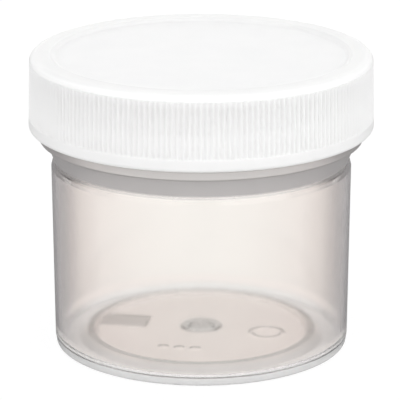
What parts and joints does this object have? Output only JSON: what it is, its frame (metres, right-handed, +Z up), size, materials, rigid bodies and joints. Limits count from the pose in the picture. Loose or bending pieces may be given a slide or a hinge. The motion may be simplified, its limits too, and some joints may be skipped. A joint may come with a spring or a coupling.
{
  "type": "specimen jar with screw cap",
  "caption": "Round straight-sided translucent plastic jar with a wide threaded neck, closed by a white ribbed screw cap with a foam liner.",
  "frame": {"origin": "centre of the face that the jar stands on", "axes": "+Z up along the jar's axis; the threads begin on +X, and the date-stamp pocket under the base lies on the -X side"},
  "size_m": [0.073, 0.073, 0.0633],
  "materials": {
    "translucent_polypropylene": "natural moulded polypropylene, translucent, smooth gloss",
    "foam_liner": "closed-cell polyethylene foam, matt",
    "white_polypropylene": "white moulded polypropylene, semi-gloss"
  },
  "bodies": {
    "jar": {"jar": "translucent_polypropylene"},
    "liner": {"liner": "foam_liner"},
    "cap": {"cap": "white_polypropylene"}
  },
  "joints": [
    {"name": "cap_rise", "type": "slide", "parent": "jar", "child": "liner", "axis": [0, 0, 1], "range_m": [0, 0.017]},
    {"name": "cap_turn", "type": "hinge", "parent": "liner", "child": "cap", "pos_m": [0, 0, 0.055], "axis": [0, 0, 1], "range_deg": [0, 1440]}
  ],
  "couplings": [
    {"joint": "cap_rise", "follows": "cap_turn", "m_per_rad": 0.0006737}
  ]
}
